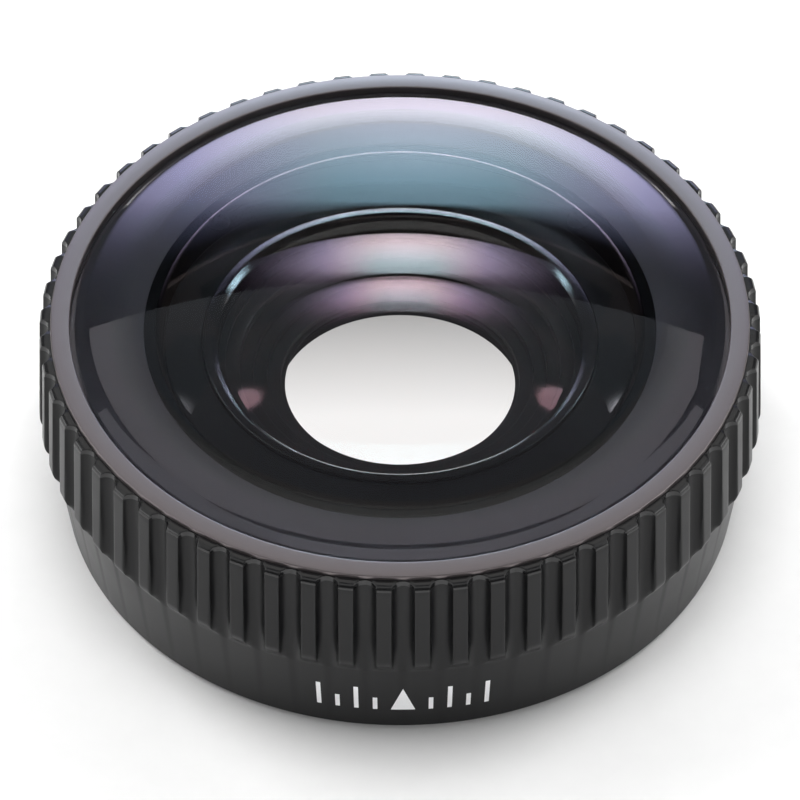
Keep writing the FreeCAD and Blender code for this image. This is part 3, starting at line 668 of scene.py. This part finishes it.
def floor_material():
    """Diffuse paper, a little darker where it is looked at than where it lights; through glass it
    glows white, with painted shade towards the back.
    """
    material = bpy.data.materials.new("paper_with_painted_shade")
    material.use_nodes = True
    tree = material.node_tree
    tree.nodes.clear()
    output = tree.nodes.new("ShaderNodeOutputMaterial")
    path = tree.nodes.new("ShaderNodeLightPath")
    paper = tree.nodes.new("ShaderNodeBsdfDiffuse")
    looked_at = math_node(
        tree, "MAXIMUM", path.outputs["Is Camera Ray"], path.outputs["Is Glossy Ray"])
    grain = remap(tree, noise(tree, object_coordinates(tree), 2.0), 0.99, 1.01)
    level = math_node(
        tree, "ADD", PAPER,
        math_node(tree, "MULTIPLY", looked_at, PAPER_LOOKED_AT - PAPER))
    tree.links.new(math_node(tree, "MULTIPLY", level, grain), paper.inputs["Color"])
    glow_with_painted_shade = tree.nodes.new("ShaderNodeEmission")
    glow_with_painted_shade.inputs["Color"].default_value = (1.0, 0.955, 0.965, 1.0)
    # Painted shade: the glow seen through the glass fades from white near the lens to grey towards
    # the back, standing in for the shade beneath the lens.
    parts = tree.nodes.new("ShaderNodeSeparateXYZ")
    tree.links.new(object_coordinates(tree), parts.inputs["Vector"])
    tree.links.new(
        remap(tree, parts.outputs["Y"], 1.01, 0.35, 3.0 * MM, 14.0 * MM), glow_with_painted_shade.inputs["Strength"])
    choice = tree.nodes.new("ShaderNodeMixShader")
    tree.links.new(path.outputs["Is Transmission Ray"], choice.inputs[0])
    tree.links.new(paper.outputs[0], choice.inputs[1])
    tree.links.new(glow_with_painted_shade.outputs[0], choice.inputs[2])
    tree.links.new(choice.outputs[0], output.inputs["Surface"])
    return material


half = FLOOR_SIZE / 2
floor = link_mesh(
    "floor",
    [(-half, -half, 0), (half, -half, 0), (half, half, 0), (-half, half, 0)],
    [(0, 1, 2, 3)],
    floor_material(),
)


# Studio light: soft cards that the camera doesn't see

CARD_DISTANCE = 1.2


def reach_of(degrees):
    return CARD_DISTANCE * math.tan(math.radians(degrees))


def bell_light(tree, light, strength, colour, bell, top_colour, side_colour):
    """Light that fades as a bell from its middle level and ends at its top level.

    The top drops and softens to both sides. The tint passes from colour below to top_colour
    above and to side_colour aside. bell is (across, up, middle, drop, top) in degrees.
    """
    across_spread, up_spread, middle, drop, top = bell
    parts = tree.nodes.new("ShaderNodeSeparateXYZ")
    tree.links.new(object_coordinates(tree), parts.inputs["Vector"])
    level = parts.outputs["Y"]
    across = math_node(tree, "DIVIDE", parts.outputs["X"], reach_of(across_spread))
    square = math_node(tree, "MULTIPLY", across, across)
    upward = math_node(
        tree, "DIVIDE", math_node(tree, "SUBTRACT", level, reach_of(middle)),
        reach_of(up_spread))
    total = math_node(tree, "ADD", square, math_node(tree, "MULTIPLY", upward, upward))
    fade = math_node(tree, "POWER", math.e, math_node(tree, "MULTIPLY", total, -1.0))
    above = math_node(
        tree, "ADD", math_node(tree, "SUBTRACT", level, reach_of(top)),
        math_node(tree, "MULTIPLY", square, reach_of(drop)))
    breadth = math_node(
        tree, "ADD", math_node(tree, "MULTIPLY", square, reach_of(drop + 3.0)),
        reach_of(0.5))
    ends = remap(tree, math_node(tree, "DIVIDE", above, breadth), 1.0, 0.0, 0.0, 1.0)
    fade = math_node(tree, "MULTIPLY", fade, ends)
    tree.links.new(math_node(tree, "MULTIPLY", fade, strength), light.inputs["Strength"])
    if top_colour is None:
        return
    high = remap(tree, level, 0.0, 1.0, reach_of(middle - up_spread / 2), reach_of(middle + 5.0))
    inward = remap(tree, square, 1.0, 0.0, 0.1, 0.8)
    hue = colour_between(tree, math_node(tree, "MULTIPLY", high, inward), colour, top_colour)
    aside = remap(tree, square, 0.0, 1.0, 0.15, 0.9)
    tree.links.new(colour_between(tree, aside, hue, side_colour), light.inputs["Color"])


def card(name, azimuth, elevation, width, height, strength, colour=(1.0, 1.0, 1.0),
         bell=None, top_colour=None, side_colour=None):
    """A lit card 1.2 m away that faces the lens; angles in degrees, azimuth from +Y to +X."""
    material = bpy.data.materials.new(name)
    material.use_nodes = True
    tree = material.node_tree
    tree.nodes.clear()
    output = tree.nodes.new("ShaderNodeOutputMaterial")
    light = tree.nodes.new("ShaderNodeEmission")
    light.inputs["Color"].default_value = (*colour, 1.0)
    light.inputs["Strength"].default_value = strength
    if bell:
        bell_light(tree, light, strength, colour, bell, top_colour, side_colour)
    tree.links.new(light.outputs[0], output.inputs["Surface"])
    w, h = reach_of(width / 2), reach_of(height / 2)
    piece = link_mesh(
        name, [(-w, -h, 0), (w, -h, 0), (w, h, 0), (-w, h, 0)], [(0, 1, 2, 3)], material)
    az, el = math.radians(azimuth), math.radians(elevation)
    outward = Vector((
        math.sin(az) * math.cos(el), math.cos(az) * math.cos(el), math.sin(el)))
    piece.rotation_euler = outward.to_track_quat("-Z", "Y").to_euler()
    piece.location = outward * CARD_DISTANCE
    piece.visible_camera = False
    return piece


STRIP_COLOUR = (0.78, 1.1, 1.3)
STRIP_BELL = (2.4, 4.0, 0.0, 0.0, 8.0)

glow = card("back_glow", 1.7, 30.0, 70.0, 30.0, 10.5, (1.0, 0.97, 1.12),
            bell=(14.3, 12.8, -4.0, 4.5, 4.4), top_colour=(0.6, 0.95, 1.1),
            side_colour=(0.82, 0.84, 1.3))
glow.visible_diffuse = False
for panel in (
    card("top_card", 0.0, 60.0, 44.0, 37.0, 0.78, (1.0, 0.98, 0.95)),
    card("near_card", 180.0, 62.0, 110.0, 24.0, 0.9),
    card("left_high_card", -90.0, 50.0, 46.0, 34.0, 0.7),
    card("right_high_card", 90.0, 50.0, 46.0, 34.0, 0.8),
):
    panel.visible_transmission = False
    panel.visible_diffuse = False
for strip in (
    card("right_strip", 67.5, 33.5, 40.0, 16.0, 210.0, STRIP_COLOUR, STRIP_BELL),
    card("left_strip", -66.5, 34.0, 40.0, 16.0, 65.0, STRIP_COLOUR, STRIP_BELL),
):
    strip.visible_glossy = False
    strip.visible_diffuse = False
card("left_card", -90.0, 17.0, 60.0, 20.0, 2.4)
card("right_card", 90.0, 17.0, 60.0, 20.0, 2.7)
for fill in (
    card("overhead_fill", 0.0, 90.0, 26.0, 26.0, 9.0),
    card("back_fill", 5.0, 40.0, 40.0, 20.0, 6.0),
    card("left_fill", -62.0, 36.0, 40.0, 26.0, 12.3),
    card("right_fill", 62.0, 36.0, 40.0, 26.0, 10.3),
    card("front_fill", 180.0, 40.0, 40.0, 20.0, 2.8),
):
    fill.visible_glossy = False
    fill.visible_transmission = False

AMBIENT = 0.06
world = bpy.data.worlds.new("studio")
scene.world = world
world.use_nodes = True
tree = world.node_tree
background = tree.nodes["Background"]
background.inputs["Color"].default_value = (1.0, 1.0, 1.0, 1.0)
path = tree.nodes.new("ShaderNodeLightPath")
seen = math_node(tree, "MULTIPLY", path.outputs["Is Camera Ray"], 1.0 - AMBIENT)
tree.links.new(math_node(tree, "ADD", seen, AMBIENT), background.inputs["Strength"])


# Camera at the photograph's angle

ELEVATION = math.radians(46.22)
AZIMUTH = math.radians(-0.5)
DISTANCE = 0.8
AIM = Vector((0.0, 0.0, 7.3 * MM))
reach = DISTANCE * math.cos(ELEVATION)
camera_data = bpy.data.cameras.new("camera")
camera_data.sensor_width = 36.0
camera_data.lens = 590.4
camera_data.clip_start = 0.01
camera = bpy.data.objects.new("camera", camera_data)
scene.collection.objects.link(camera)
camera.location = AIM + Vector((
    reach * math.sin(AZIMUTH),
    -reach * math.cos(AZIMUTH),
    DISTANCE * math.sin(ELEVATION),
))
camera.rotation_euler = (AIM - camera.location).to_track_quat("-Z", "Y").to_euler()
scene.camera = camera
scene.view_settings.view_transform = "Standard"
